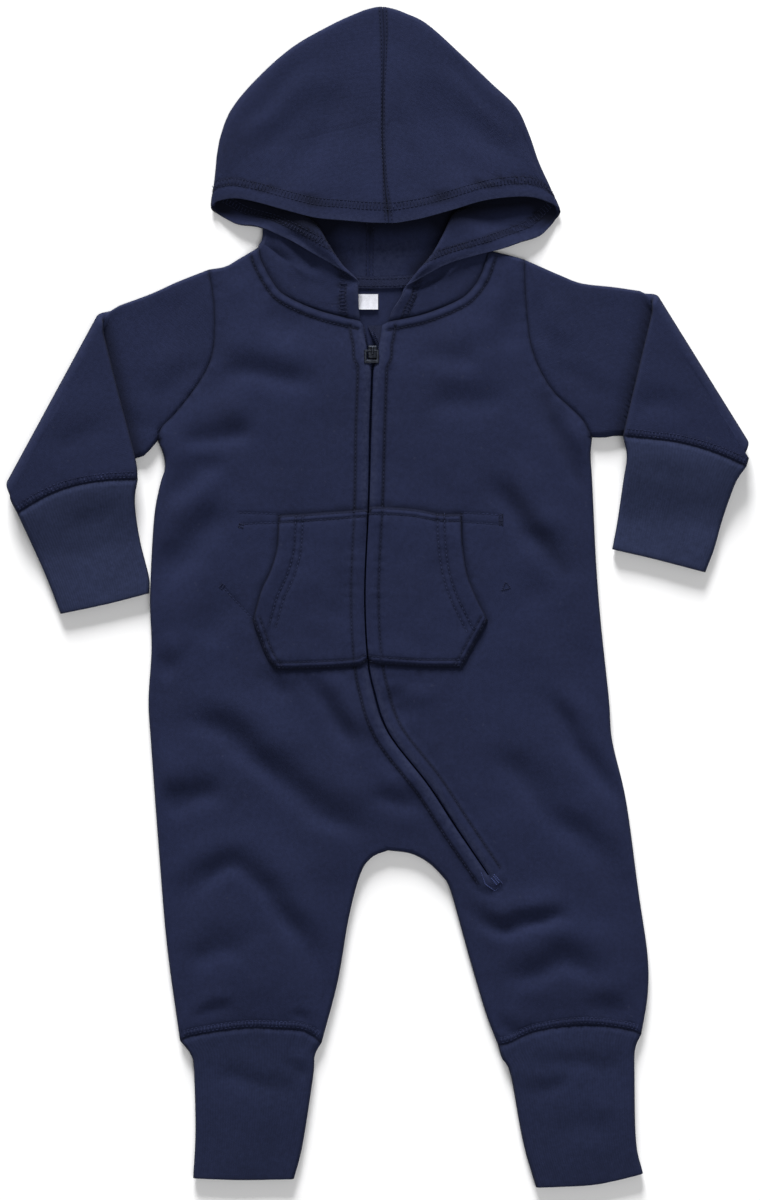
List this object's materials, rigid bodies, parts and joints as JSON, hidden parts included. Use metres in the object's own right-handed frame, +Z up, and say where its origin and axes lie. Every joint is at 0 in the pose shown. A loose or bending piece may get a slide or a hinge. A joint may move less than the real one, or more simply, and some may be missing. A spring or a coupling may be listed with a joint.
{
  "type": "baby romper",
  "caption": "Baby's hooded zip all-in-one in plain fleece, laid flat and face up, with a split kangaroo pocket, sleeves folded back and long cuffs; the zip's pull tab swings.",
  "frame": {"origin": "under the middle of the laid-out garment, on the surface that it lies on", "axes": "+X to the wearer's left, +Y from the feet to the hood, +Z up from the surface"},
  "size_m": [0.4802, 0.7666, 0.0126],
  "materials": {
    "fleece": "matt sweatshirt fleece, smooth jersey side out",
    "rib": "matt fine rib jersey, doubled",
    "tape": "matt jersey tape",
    "label": "bare white woven satin",
    "zip_tape": "matt woven zip tape",
    "metal": "dark enamelled zinc"
  },
  "bodies": {
    "garment": {"back": "fleece", "front": "fleece", "hood_right": "fleece", "hood_left": "fleece", "sleeve_right": "fleece", "sleeve_left": "fleece", "pocket_right": "fleece", "pocket_left": "fleece", "sleeve_cuff_right": "rib", "sleeve_cuff_left": "rib", "leg_cuff_right": "rib", "leg_cuff_left": "rib", "neck_tape": "tape", "label": "label", "zip_tape_right": "zip_tape", "zip_tape_left": "zip_tape", "zip_slider": "metal"},
    "pull_tab": {"zip_pull": "metal"}
  },
  "joints": [
    {"name": "pull_tab_hinge", "type": "hinge", "parent": "garment", "child": "pull_tab", "pos_m": [-0.0042, 0.1594, 0.0093], "axis": [-1, 0, 0], "range_deg": [0, 160]}
  ]
}
